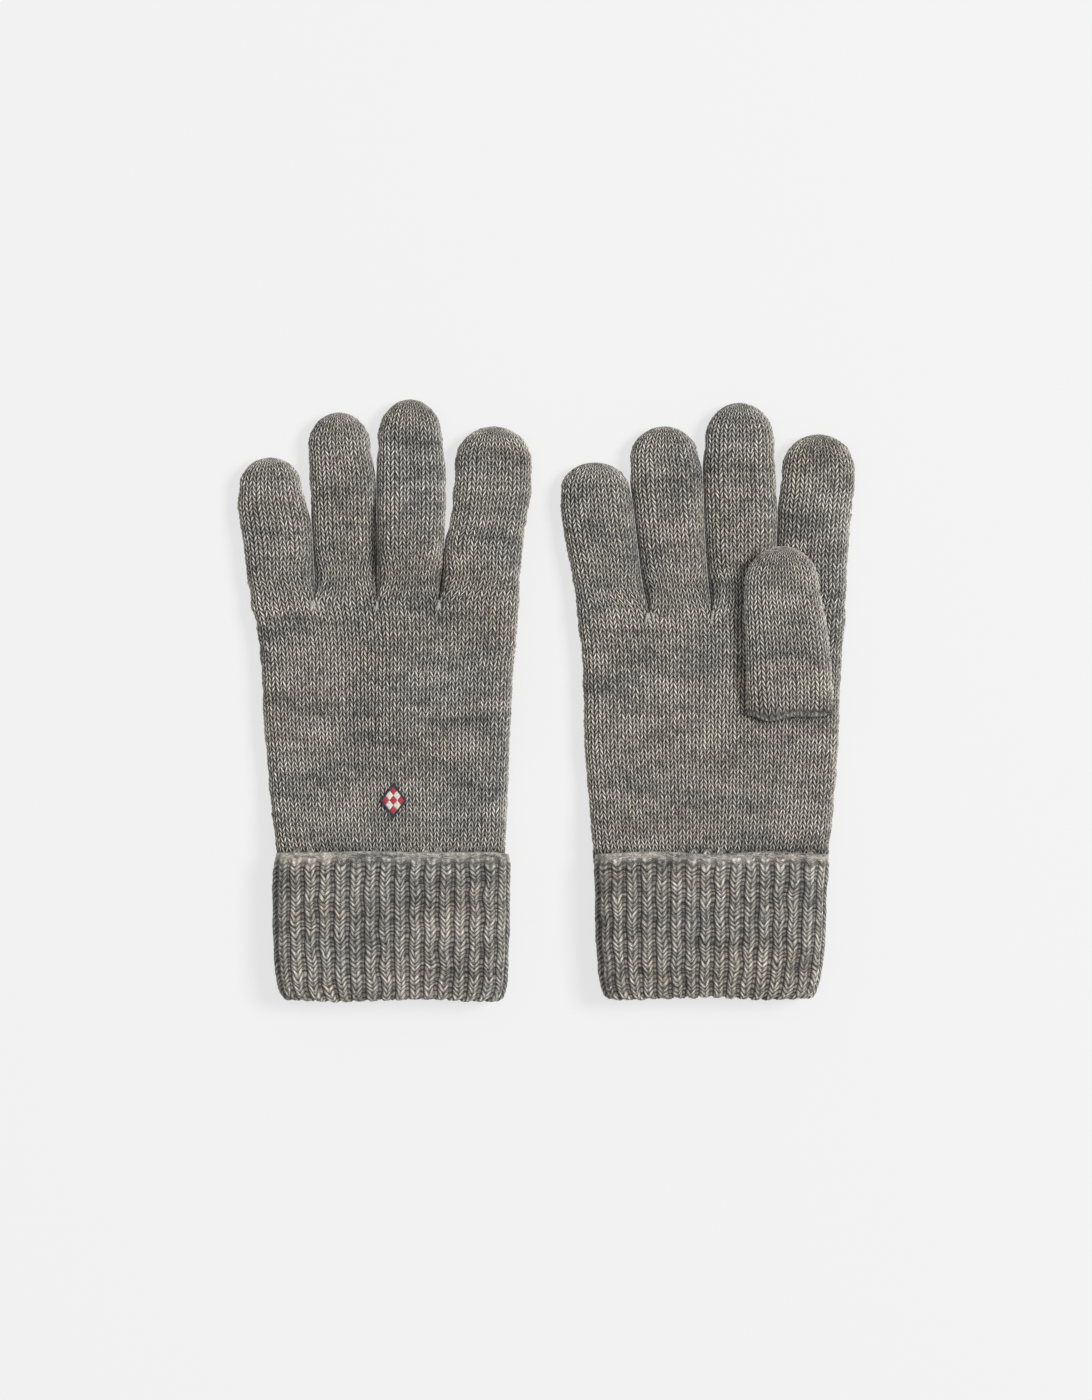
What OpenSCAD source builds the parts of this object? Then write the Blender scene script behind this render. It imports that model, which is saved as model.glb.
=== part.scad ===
// A pair of knitted gloves lying flat with the fingers towards +Y.
// The left-hand glove lies back up on the -X side, with its thumb tucked under the palm.
// The right-hand glove lies palm up on the +X side, with its thumb folded over the palm.
// The origin is at the middle of the pair, on the surface that it lies on.

/* [Fabric] */
// Thickness of the knitted fabric
wall = 1.7; // [1.5:0.1:1.8]
// Thickness of the hand and fingers as they lie
body_t = 10; // [9.6:0.1:10.4]
// Thickness of the thumbs as they lie
thumb_t = 8.4; // [8:0.1:8.6]
// Gap between two neighbouring finger tubes
finger_gap = 1.4; // [1.2:0.1:2]

/* [Cuff] */
// Thickness of the turned-back cuff, over both layers
cuff_t = 16; // [15.6:0.1:16.8]
// Length of the turned-back cuff
cuff_len = 60; // [50:1:60]
// Gap between the inner and the turned-back layer
layer_gap = 0.4; // [0.3:0.1:0.5]
// Width of the left cuff
left_cuff_w = 95; // [94:0.5:96]
// Width of the right cuff
right_cuff_w = 93; // [92:0.5:94]

/* [Folds] */
// Where a finger folds, as a part of its length beyond the hand
fold_at = 0.4; // [0.4:0.01:0.44]
// Clearance across each fold
fold_gap = 0.4; // [0.3:0.1:0.6]

/* [Emblem] */
// Width of the embroidered lozenge
emblem_w = 11; // [9:0.5:12]
// Height of the embroidered lozenge
emblem_h = 14; // [11:0.5:15]
// Thickness of the embroidery
emblem_t = 0.8; // [0.6:0.1:1]

/* [Hidden] */

LEFT = 0;
RIGHT = 1;
GREY = [0.51, 0.50, 0.47];
RIB_GREY = [0.46, 0.45, 0.43];
SEAM_GREY = [0.40, 0.39, 0.37];
RED = [0.66, 0.16, 0.18];

// Points round a tube, the squareness of its section, and stations along the hand
SIDES = 28;
SQUARENESS = 2 / 3.4;
HAND_STEPS = 15;

// The turned cuff ends here, and the hand starts here
cuff_end_y = -120;
cuff_top_y = cuff_end_y + cuff_len;
cuff_x = [-61.6, 65.6];
cuff_w = [left_cuff_w, right_cuff_w];
inner_inset = wall + layer_gap;
inner_cuff_t = cuff_t - 2 * inner_inset;

// Lengths above the cuff over which the hand comes down to the surface, and thickens to body_t
settle_run = 28;
thicken_run = 20;

// Line across the base of the fingers
knuckle_y = [38, 35.2];

// Edges of each hand: [y, low x edge, high x edge]
hand_edges = [
    [[-60, -107.6, -16], [-40, -110, -15], [-8, -112.8, -13.8], [12, -113.6, -13], [24, -114.6, -11.8],
     [38, -118, -10.6]],
    [[-60, 18.4, 112.8], [-42, 17, 115.2], [-19, 15.4, 116.8], [0, 15, 117.4], [19, 14, 118.6],
     [35.2, 12.4, 119.6]]
];

// Fingers from the little one to the index: [base x, tip x, tip y, base width, widest]
fingers = [
    [[-105.2, -109.8, 96.8, 25.6, 27.6], [-79.4, -82.8, 114.8, 25.2, 25.8], [-54.4, -54.4, 120, 24.8, 26.8],
     [-26.4, -21.4, 109.2, 31.2, 31]],
    [[26.6, 19.4, 94.8, 28.4, 28], [52.8, 47.2, 109.2, 24.4, 26.8], [77.4, 77.4, 118.6, 26, 27.6],
     [104.8, 108.7, 106, 29.6, 29.8]]
];

// Parts of a finger's length over which it leans to its tip, and widens
lean_part = 0.75;
widen_part = 0.6;

// Thumbs: base x, tip x, base y, tip y and width
thumb_base_x = [-34.5, 97];
thumb_tip_x = [-36.5, 94.6];
thumb_base_y = -8;
thumb_tip_y = 61.2;
thumb_w = 33;
thumb_clear = 0.4;

// The left hand is draped over its thumb: height, and how far the slopes reach
drape_lift = thumb_t + thumb_clear;
drape_x_run = 30;
drape_y_run = 26;
drape_start_y = thumb_base_y - 2;
drape_end_y = thumb_tip_y + 4;

// Thumb hole in the palm
hole_w = 22;
hole_r = 5;
hole_y = thumb_base_y + 9;

function clamp01(t) = min(1, max(0, t));
function smooth(t) = let (c = clamp01(t)) c * c * (3 - 2 * c);
function mix(a, b, t) = a + (b - a) * t;
function spow(v, p) = sign(v) * pow(abs(v), p);

// Height that the left glove gains over its thumb
function lift(side, x, y) = side == RIGHT ? 0 :
    drape_lift
    * smooth((x - (thumb_base_x[LEFT] - thumb_w / 2 - 2 - drape_x_run)) / drape_x_run)
    * smooth((y - (drape_start_y - drape_y_run)) / drape_y_run)
    * smooth((drape_end_y + drape_y_run - y) / drape_y_run);

// Height of the middle of the hand: level with the cuff at first, then down to the surface
function hand_mid(side, x, y) =
    mix(cuff_t / 2, body_t / 2, smooth((y - cuff_top_y) / settle_run)) + lift(side, x, y);

function low_edge(side, y) = lookup(y, [for (e = hand_edges[side]) [e[0], e[1]]]);
function high_edge(side, y) = lookup(y, [for (e = hand_edges[side]) [e[0], e[2]]]);

// Thickness of the hand tube: that of the inner cuff at first
function hand_t(y) = mix(inner_cuff_t, body_t, smooth((y - cuff_top_y) / thicken_run));

// One ring of the hand, moved in from the outside by inset
function hand_ring(side, y, inset) =
    let (x0 = low_edge(side, y), x1 = high_edge(side, y))
    let (a = (x1 - x0) / 2 - inset, b = hand_t(y) / 2 - inset)
    [for (i = [0 : SIDES - 1])
        let (u = 360 * i / SIDES, x = (x0 + x1) / 2 + a * spow(cos(u), SQUARENESS))
        [x, y, hand_mid(side, x, y) + b * spow(sin(u), SQUARENESS)]];

// Centre, half width and middle height along a finger
function finger_len(side, f) = fingers[side][f][2] - knuckle_y[side];
function finger_fold_y(side, f) = knuckle_y[side] + fold_at * finger_len(side, f);
function finger_x(side, f, y) =
    mix(fingers[side][f][0], fingers[side][f][1],
        clamp01((y - knuckle_y[side]) / (lean_part * finger_len(side, f))));
function finger_half(side, f, y) =
    mix(fingers[side][f][3], fingers[side][f][4],
        smooth((y - knuckle_y[side]) / (widen_part * finger_len(side, f)))) / 2
    - finger_gap / 2;
function finger_mid(side, f, y) = body_t / 2 + lift(side, finger_x(side, f, knuckle_y[side]), y);

// One flat-sided round ring of half width a and half thickness b
function round_ring(x, y, z, a, b) =
    [for (i = [0 : SIDES - 1])
        let (u = 360 * i / SIDES)
        [x + a * spow(cos(u), SQUARENESS), y, z + b * spow(sin(u), SQUARENESS)]];

// How a round tip narrows: 1 where it starts, 0 at its end
function tip_narrowing(y, tip_y, r) = sqrt(1 - pow(clamp01((y - (tip_y - r)) / r), 2));

// Stations of a round tip, from where it starts to just short of its end
TIP_STEPS = [0, 0.35, 0.6, 0.78, 0.9, 0.97, 0.995];

function finger_ring(side, f, y, inset) =
    let (r = fingers[side][f][4] / 2 - inset, k = tip_narrowing(y, fingers[side][f][2] - inset, r))
    round_ring(finger_x(side, f, y), y, finger_mid(side, f, y),
        (finger_half(side, f, y) - inset) * k, (body_t / 2 - inset) * mix(k, 1, 0.25));

// Faces between two rings that start at points p and q
function band(p, q, flip) =
    [for (i = [0 : SIDES - 1])
        let (j = (i + 1) % SIDES)
        flip ? [p + i, q + i, q + j, p + j] : [p + i, p + j, q + j, q + i]];

// A tube with a wall: open at both ends, or closed at its far end
module sleeve(outer, inner, closed) {
    n = len(outer);
    m = len(inner);
    points = [for (r = outer) for (p = r) p, for (r = inner) for (p = r) p];
    skin = [for (k = [0 : n - 2]) each band(k * SIDES, (k + 1) * SIDES, false)];
    lining = [for (k = [0 : m - 2]) each band((n + k) * SIDES, (n + k + 1) * SIDES, true)];
    near_end = band(0, n * SIDES, true);
    far_end = closed
        ? [[for (i = [0 : SIDES - 1]) (n - 1) * SIDES + i], [for (i = [SIDES - 1 : -1 : 0]) (n + m - 1) * SIDES + i]]
        : band((n - 1) * SIDES, (n + m - 1) * SIDES, false);
    polyhedron(points, concat(skin, lining, near_end, far_end));
}

// A closed solid through a row of rings
module loft(rings) {
    n = len(rings);
    s = len(rings[0]);
    points = [for (r = rings) for (p = r) p];
    skin = [for (k = [0 : n - 2]) for (i = [0 : s - 1])
        let (j = (i + 1) % s)
        [k * s + i, k * s + j, (k + 1) * s + j, (k + 1) * s + i]];
    near_end = [for (i = [s - 1 : -1 : 0]) i];
    far_end = [for (i = [0 : s - 1]) (n - 1) * s + i];
    polyhedron(points, concat(skin, [near_end, far_end]));
}

// Section of a cuff layer: flat with full round sides, from its outside or moved in
module cuff_section(w, t) {
    square([w - t, t], center = true);
    for (s = [-1, 1]) {
        translate([s * (w - t) / 2, 0]) circle(d = t, $fn = 48);
    }
}

// A length of cuff layer, from y0 to y1
module cuff_layer(side, w, t, y0, y1) {
    translate([cuff_x[side], y1, cuff_t / 2]) rotate([90, 0, 0]) linear_extrude(y1 - y0) difference() {
        cuff_section(w, t);
        cuff_section(w - 2 * wall, t - 2 * wall);
    }
}

module thumb_hole(side, z0, z1) {
    translate([thumb_base_x[side], hole_y, z0]) linear_extrude(z1 - z0) {
        square([hole_w - 2 * hole_r, 2 * hole_r], center = true);
        for (s = [-1, 1]) {
            translate([s * (hole_w / 2 - hole_r), 0]) circle(r = hole_r, $fn = 32);
        }
    }
}

// Hand tube, with the thumb hole in its palm side
module hand(side) {
    ys = [for (k = [0 : HAND_STEPS]) mix(cuff_top_y, knuckle_y[side], k / HAND_STEPS)];
    mid = hand_mid(side, thumb_base_x[side], hole_y);
    color(GREY) difference() {
        sleeve([for (y = ys) hand_ring(side, y, 0)], [for (y = ys) hand_ring(side, y, wall)], false);
        if (side == RIGHT) {
            thumb_hole(side, mid, mid + body_t);
        } else {
            thumb_hole(side, mid - body_t, mid);
        }
    }
}

module inner_cuff(side) {
    w = cuff_w[side] - 2 * inner_inset;
    color(RIB_GREY) cuff_layer(side, w, inner_cuff_t, cuff_end_y + wall, cuff_top_y);
}

// The turned-back layer, with the fold that joins it to the inner layer at its end
module outer_cuff(side) {
    color(RIB_GREY) {
        cuff_layer(side, cuff_w[side], cuff_t, cuff_end_y, cuff_top_y);
        translate([cuff_x[side], cuff_end_y + wall, cuff_t / 2]) rotate([90, 0, 0]) linear_extrude(wall) {
            difference() {
                cuff_section(cuff_w[side] - wall, cuff_t - wall);
                cuff_section(cuff_w[side] - 2 * (inner_inset + wall), inner_cuff_t - 2 * wall);
            }
        }
    }
}

// Lower part of a finger, which stays with the hand
module finger_base(side, f) {
    y1 = finger_fold_y(side, f) - fold_gap;
    top_cut = wall + 2 * fold_gap;
    z = finger_mid(side, f, y1) + body_t / 2 - wall - fold_gap;
    ys = [for (k = [0 : 4]) mix(knuckle_y[side], y1, k / 4)];
    color(GREY) difference() {
        sleeve([for (y = ys) finger_ring(side, f, y, 0)], [for (y = ys) finger_ring(side, f, y, wall)], false);
        translate([finger_x(side, f, y1) - 20, y1 - top_cut, z]) cube([40, 10, 10]);
    }
}

// Upper part of a finger, which folds up
module finger_tip(side, f) {
    y0 = finger_fold_y(side, f);
    tip = fingers[side][f][2];
    r = fingers[side][f][4] / 2;
    outer_ys = concat([for (k = [0 : 2]) mix(y0, tip - r, k / 3)], [for (s = TIP_STEPS) tip - r + r * s]);
    ri = r - wall;
    inner_ys = concat([for (k = [0 : 2]) mix(y0, tip - r, k / 3)], [for (s = TIP_STEPS) tip - r + ri * s]);
    color(GREY) sleeve([for (y = outer_ys) finger_ring(side, f, y, 0)],
        [for (y = inner_ys) finger_ring(side, f, y, wall)], true);
}

// Half width, centre and middle height along a thumb
function thumb_x(side, y) =
    mix(thumb_base_x[side], thumb_tip_x[side], (y - thumb_base_y) / (thumb_tip_y - thumb_base_y));
thumb_mid = [thumb_t / 2, body_t + thumb_clear + thumb_t / 2];
THUMB_ROUND = thumb_t / 2;

// A thumb is round at its tip and blunt at its base
function thumb_ring(side, y, inset) =
    let (r = thumb_w / 2 - inset, b = THUMB_ROUND - inset)
    let (k = tip_narrowing(y, thumb_tip_y - inset, r))
    let (h = sqrt(1 - pow(clamp01((thumb_base_y + THUMB_ROUND - y) / b), 2)))
    round_ring(thumb_x(side, y), y, thumb_mid[side],
        (r - b * (1 - h)) * k, b * mix(k, 1, 0.25) * h);

module thumb_body(side, inset) {
    r = thumb_w / 2 - inset;
    b = THUMB_ROUND - inset;
    start = thumb_base_y + THUMB_ROUND;
    tip_start = thumb_tip_y - thumb_w / 2;
    ys = concat([for (k = [len(TIP_STEPS) - 1 : -1 : 1]) start - b * TIP_STEPS[k]],
        [for (k = [0 : 3]) mix(start, tip_start, k / 4)], [for (s = TIP_STEPS) tip_start + r * s]);
    loft([for (y = ys) thumb_ring(side, y, inset)]);
}

module thumb(side) {
    color(GREY) difference() {
        thumb_body(side, 0);
        thumb_body(side, wall);
        if (side == RIGHT) {
            thumb_hole(side, thumb_mid[side] - thumb_t, thumb_mid[side]);
        } else {
            thumb_hole(side, thumb_mid[side], thumb_mid[side] + thumb_t);
        }
    }
}

// Darning bars that close the crotches between the fingers
bar_clear = 0.35;
bar_h = 6;
bar_pitch = 2;
module crotch_stitches(side) {
    color(SEAM_GREY) for (f = [0 : 2], k = [1 : 3]) {
        y = knuckle_y[side] + k * bar_pitch;
        low_side = finger_x(side, f, y) + finger_half(side, f, y);
        high_side = finger_x(side, f + 1, y) - finger_half(side, f + 1, y);
        z = (finger_mid(side, f, y) + finger_mid(side, f + 1, y) - bar_h) / 2;
        translate([(low_side + high_side) / 2, y, z])
            cylinder(r = finger_gap / 2 - bar_clear, h = bar_h, $fn = 16);
    }
}

// Embroidered lozenge on the back of the left hand, following its surface
module emblem(side) {
    y_mid = -40;
    x_mid = -60.8;
    emblem_clear = 0.3;
    point_w = 1.2;
    steps = 10;
    color(RED) loft([for (k = [0 : steps])
        let (v = 2 * k / steps - 1, y = y_mid + v * emblem_h / 2)
        let (a = mix(emblem_w, point_w, abs(v)) / 2)
        let (top = hand_t(y) / 2 + emblem_clear)
        let (z0 = hand_mid(side, x_mid - a, y) + top, z1 = hand_mid(side, x_mid + a, y) + top)
        [[x_mid - a, y, z0], [x_mid + a, y, z1], [x_mid + a, y, z1 + emblem_t], [x_mid - a, y, z0 + emblem_t]]]);
}

hand(LEFT);  // left_hand
inner_cuff(LEFT);  // left_inner_cuff
outer_cuff(LEFT);  // left_outer_cuff
crotch_stitches(LEFT);  // left_crotch_stitches
emblem(LEFT);  // left_emblem
thumb(LEFT);  // left_thumb
finger_base(LEFT, 0);  // left_little_base
finger_base(LEFT, 1);  // left_ring_base
finger_base(LEFT, 2);  // left_middle_base
finger_base(LEFT, 3);  // left_index_base
finger_tip(LEFT, 0);  // left_little_tip
finger_tip(LEFT, 1);  // left_ring_tip
finger_tip(LEFT, 2);  // left_middle_tip
finger_tip(LEFT, 3);  // left_index_tip
hand(RIGHT);  // right_hand
inner_cuff(RIGHT);  // right_inner_cuff
outer_cuff(RIGHT);  // right_outer_cuff
crotch_stitches(RIGHT);  // right_crotch_stitches
thumb(RIGHT);  // right_thumb
finger_base(RIGHT, 0);  // right_little_base
finger_base(RIGHT, 1);  // right_ring_base
finger_base(RIGHT, 2);  // right_middle_base
finger_base(RIGHT, 3);  // right_index_base
finger_tip(RIGHT, 0);  // right_little_tip
finger_tip(RIGHT, 1);  // right_ring_tip
finger_tip(RIGHT, 2);  // right_middle_tip
finger_tip(RIGHT, 3);  // right_index_tip
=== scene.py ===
import math

import bpy
import numpy as np
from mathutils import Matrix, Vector


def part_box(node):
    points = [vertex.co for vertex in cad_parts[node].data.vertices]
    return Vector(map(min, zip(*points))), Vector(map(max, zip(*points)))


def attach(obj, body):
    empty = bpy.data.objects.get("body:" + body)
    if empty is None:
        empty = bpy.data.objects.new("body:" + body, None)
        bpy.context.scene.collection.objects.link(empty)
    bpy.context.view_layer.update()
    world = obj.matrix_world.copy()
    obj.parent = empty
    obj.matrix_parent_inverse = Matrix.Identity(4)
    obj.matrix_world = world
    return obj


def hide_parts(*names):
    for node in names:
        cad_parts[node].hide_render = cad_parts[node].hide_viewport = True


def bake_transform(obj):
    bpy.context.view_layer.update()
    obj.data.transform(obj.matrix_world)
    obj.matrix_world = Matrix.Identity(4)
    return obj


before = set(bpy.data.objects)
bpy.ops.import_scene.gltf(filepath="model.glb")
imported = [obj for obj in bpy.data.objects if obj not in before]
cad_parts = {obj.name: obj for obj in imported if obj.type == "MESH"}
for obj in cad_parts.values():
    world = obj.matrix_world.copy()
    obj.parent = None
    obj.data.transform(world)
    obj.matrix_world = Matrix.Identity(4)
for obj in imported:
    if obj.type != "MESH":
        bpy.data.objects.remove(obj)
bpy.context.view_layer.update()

# A pair of knitted gloves, laid flat. Design values are in millimetres and become metres in make_mesh.
MM = 0.001
SIDES = ("left", "right")
FINGERS = ("little", "ring", "middle", "index")

# Knit gauge: a wale is a column of stitches, a course is a row of them
COURSE = 2.0
COLS = 6            # mesh columns to a wale
ROWS = 4            # mesh rows to a course
CHEVRON = 1.35      # how many courses a stitch's legs climb to the middle of the wale
STITCH_RELIEF = 0.75
PHASE = 2 / COLS    # where the first wale starts, so that the edge of the glove is not a groove
HALF_WALES = 36     # wales from side to side of a hand, over the top
WALL_WALES = 1.5    # wales on half of the wall between two fingers
FABRIC = 1.7        # thickness of the knitted fabric
BODY_T = 10.0       # thickness of the hand and fingers
HAND_CORNER = 7.0   # how far the round edge of the hand reaches in
FINGER_CORNER = 9.0
ROUNDING_RUN = 26.0  # length over which the fingers part from each other and round off
TIP_CLOSE = 0.985    # part of a quarter turn at which a round tip is closed by its pole
TIP_FULL = 0.62      # power that keeps a tip full until near its end
# Height of a stitch's leg, from the edge of the wale to its middle, and the same for a raised rib
LEG_PROFILE = ((0, 0.33, 0.67, 1), (0.0, 0.92, 1.0, 0.22))
RIB_PROFILE = ((0, 0.35, 0.7, 1), (0.3, 1.0, 0.95, 0.35))
ROW_POWER = 0.7      # below 1 makes a course full, with narrow gaps between courses
WAVES = 7            # sine waves summed in the smooth noise
EDGE_SAMPLES = 240   # points along a smoothed edge
EDGE_SOFTNESS = 4.0  # how far to each side an edge is averaged

# Edges of each hand: y, low x, high x. The first is inside the cuff, the last is just above the knuckles.
HAND_EDGES = {
    "left": ((-66, -107.0, -16.6), (-60, -107.6, -16.2), (-40, -110.0, -15.2), (-27, -111.2, -14.8),
             (-8, -112.8, -13.8), (12, -113.6, -13.0), (21, -114.4, -11.8), (31, -115.8, -11.2),
             (38, -118.0, -10.6), (42, -118.6, -10.4)),
    "right": ((-66, 19.0, 112.4), (-60, 18.6, 112.8), (-42, 17.2, 115.0), (-19, 15.2, 116.8),
              (0, 15.0, 117.2), (19, 14.2, 118.4), (27, 13.2, 119.2), (33, 12.4, 119.6), (37, 12.0, 119.8)),
}
KNUCKLE_Y = {"left": 38.0, "right": 33.0}

# Wales of the hand's top at which one finger ends and the next begins
CROTCHES = {"left": (0, 9, 17, 25, 36), "right": (0, 10, 18, 26, 36)}

# Creases between neighbouring fingers, from above the knuckles to where they part: y and x
CREASES = {
    "left": (((52, -92.6), (62, -93.15), (71.5, -93.7)),
             ((52, -67.1), (64, -67.35), (80, -67.7), (89, -67.9)),
             ((52, -41.15), (64, -40.35))),
    "right": (((44, 38.8), (51, 37.7), (66, 36.0), (75, 35.0), (82.5, 34.0)),
              ((51, 64.25), (69, 63.15), (84, 62.7), (93, 62.4)),
              ((51, 91.35), (62, 91.85), (70, 92.25), (77, 92.4))),
}
CREASE_GAP = 0.1
LEAN = 0.05            # how far the fingers lean sideways from bottom to top, so that a crease shows no light
# Where neighbouring fingers stop touching
PARTED_Y = {side: [crease[-1][0] + 8 for crease in CREASES[side]] for side in SIDES}

# Free edges of each finger up to where its round tip starts: y and low x, then y and high x, then the tip's y
FINGER_EDGES = {
    "left": {
        "little": (((50, -119.6), (62, -120.8), (71, -122.4), (77, -123.2), (85.6, -122.4)),
                   ((76, -95.0), (85.6, -97.6)), 96.8),
        "ring": (((80, -94.0), (90, -94.5), (101.8, -94.9)), ((95, -69.0), (101.8, -70.2)), 114.8),
        "middle": (((94, -67.5), (105, -67.1)), ((72, -40.0), (80, -39.7), (92, -40.0), (105, -41.4)), 120.0),
        "index": (((68, -38.7), (76, -37.4), (84, -36.9), (95, -36.2)),
                  ((53, -10.0), (69, -8.0), (84, -5.7), (95, -5.6)), 109.2),
    },
    "right": {
        "little": (((45, 11.2), (57.6, 8.8), (66, 7.1), (74.5, 5.9), (80, 5.6), (84, 6.0)),
                   ((84, 33.4),), 94.8),
        "ring": (((87, 33.5), (96.4, 33.6)), ((96.4, 61.0),), 109.2),
        "middle": (((97, 62.9), (104, 63.3)), ((82, 92.0), (92, 91.5), (104, 91.1)), 118.6),
        "index": (((81, 93.1), (86, 93.6), (92.4, 94.2)),
                  ((45, 119.9), (61, 120.8), (73.6, 121.9), (86, 123.4), (92.4, 123.3)), 106.0),
    },
}

# Thumbs: y, low x, high x up to where the round tip starts, then the tip's y
THUMB_EDGES = {
    "left": (((-8, -51.0, -18.0), (20, -52.0, -19.2), (46, -52.6, -20.4)), 61.2),
    "right": (((-8, 80.2, 114.6), (8, 79.6, 113.9), (18, 79.3, 113.3), (30, 78.9, 111.7), (40, 78.6, 109.7),
               (46, 79.0, 108.6)), 61.2),
}
THUMB_T = 8.4
THUMB_CLEAR = 0.2
THUMB_WALES = 13     # wales from side to side of a thumb, over the top
THUMB_LIP = 1.3      # half the thickness of a thumb at its base
THUMB_CORNER = 8.0

# Cuffs: y, low x, high x
CUFF_EDGES = {
    "left": ((-121, -103.6, -19.0), (-119, -105.4, -17.2), (-116, -106.7, -16.0), (-112, -107.7, -15.2),
             (-103, -108.6, -14.8), (-93, -109.2, -14.4), (-75, -109.3, -14.2), (-67, -109.0, -14.0),
             (-63, -108.3, -14.2), (-60, -107.4, -14.9)),
    "right": ((-121, 25.0, 104.6), (-119, 23.2, 106.4), (-116, 21.8, 108.2), (-110, 20.6, 109.8),
              (-102, 20.0, 110.9), (-94, 19.5, 111.5), (-75, 19.2, 112.2), (-66, 18.8, 113.0),
              (-60, 19.4, 112.6)),
}
CUFF_BOTTOM = {"left": -119.8, "right": -119.0}
CUFF_TOP = {"left": -60.2, "right": -60.4}
CUFF_T = 16.0
CUFF_CORNER = 7.5
FOLD_R = 1.9        # radius of the fold at the open end of a cuff
HAND_T_IN_CUFF = 10.4
CUFF_DIP = 0.9      # how far the hand dips where the cuff starts
RIBS = 17.5         # raised ribs across a cuff
RIB_COLS = 10       # mesh columns to a rib and the groove beside it
RIB_RAISED = 0.74   # part of the repeat that is raised
RIB_RELIEF = 0.68
CUFF_BACK = 2.1     # depth of the hidden side of the turned cuff

# Stitches between the fingers
YARN_R = 0.5
KNOT_PROUD = {"left": -0.35, "right": 0.2}  # how far the strands stand out of the fabric
KNOT_STRANDS = {1: (-1.1, 0.2, 1.2), 2: (0.1,), 3: (-0.4, 0.5)}  # how far beside each crotch they pass over

# Emblem
OUTLINE = 0.09   # width of the outline, as a part of the emblem's side
THREADS = 5      # threads across each small lozenge
EMBLEM_GRID = 96


def clamp01(t):
    return np.clip(t, 0.0, 1.0)


def smooth(t):
    c = clamp01(t)
    return c * c * (3 - 2 * c)


def mix(a, b, t):
    return a + (b - a) * t


def wobble(p, wavelength, seed):
    """Smooth noise from -1 to 1 at points p, the same at each run."""
    rng = np.random.RandomState(seed)
    total = np.zeros(p.shape[:-1])
    for _ in range(WAVES):
        d = rng.normal(size=3)
        d *= rng.uniform(0.6, 1.6) * 2 * math.pi / (wavelength * np.linalg.norm(d))
        total += np.sin(p @ d + rng.uniform(0, 2 * math.pi))
    return total / WAVES ** 0.5 / 1.2


class Edges:
    """Two smooth edges, each through a few points."""

    def __init__(self, lo_points, hi_points):
        y = [p[0] for p in lo_points + hi_points]
        self.y = np.linspace(min(y), max(y), EDGE_SAMPLES)
        width = max(1, int(EDGE_SOFTNESS / (self.y[1] - self.y[0])))
        kernel = np.hanning(2 * width + 1)
        kernel /= kernel.sum()
        self.lo, self.hi = (self._soft(np.array(pts, float), kernel, width) for pts in (lo_points, hi_points))

    def _soft(self, pts, kernel, width):
        line = np.interp(self.y, pts[:, 0], pts[:, 1])
        before = line[0] - (line[1] - line[0]) * np.arange(width, 0, -1)
        after = line[-1] + (line[-1] - line[-2]) * np.arange(1, width + 1)
        return np.convolve(np.concatenate([before, line, after]), kernel, mode="valid")

    def at(self, y):
        return np.interp(y, self.y, self.lo), np.interp(y, self.y, self.hi)


def both_edges(table):
    """Edges from rows of y, low x and high x."""
    return Edges(tuple(row[:2] for row in table), tuple((row[0], row[2]) for row in table))


UNDER_LO, UNDER_HI = (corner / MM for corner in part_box("left_thumb"))


def thumb_lift(side, x, y):
    """How far the left glove is raised where it lies over its own thumb."""
    if side == "right":
        return np.zeros(np.shape(x))
    across = smooth((x - UNDER_LO.x + 32) / 30)
    up = smooth((y - UNDER_LO.y + 28) / 26)
    down = smooth((UNDER_HI.y + 30 - y) / 26)
    return (UNDER_HI.z + THUMB_CLEAR) * across * up * down


def ring_point(d, lo, hi, corner_lo, corner_hi, half_t, crown):
    """Point at distance d round half a flat section, from its low side over the top to its high side."""
    la, lb = arc(corner_lo, half_t), arc(corner_hi, half_t)
    flat = hi - lo - corner_lo - corner_hi
    total = la + flat + lb
    ta = clamp01(d / la) * math.pi / 2
    tb = clamp01((total - d) / lb) * math.pi / 2
    x = np.where(d < la, lo + corner_lo * (1 - np.cos(ta)),
                 np.where(d > la + flat, hi - corner_hi * (1 - np.cos(tb)), lo + corner_lo + d - la))
    z = np.where(d < la, half_t * np.sin(ta), np.where(d > la + flat, half_t * np.sin(tb), half_t))
    centred = (x - (lo + hi) / 2) / np.maximum((hi - lo) / 2, 0.01)
    return x, z + crown * np.maximum(0, 1 - centred ** 2) * z / np.maximum(half_t, 0.01)


def arc(a, b):
    return math.pi / 2 * np.sqrt((np.square(a) + np.square(b)) / 2)


def tri(phase):
    """0 at the edge of a wale, 1 in its middle."""
    return 1 - np.abs(2 * (phase - np.floor(phase)) - 1)


def folded(u, half):
    """Place across a ring that is 2 * half round: 0 to half on either side, and whether it is the upper."""
    turn = np.mod(u, 2 * half)
    over = turn <= half
    return np.where(over, turn, 2 * half - turn), over


def wavy_row(w):
    """Height of the fabric along a wale: full in each course, down in between."""
    return np.abs(np.sin(math.pi * w)) ** ROW_POWER


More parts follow.
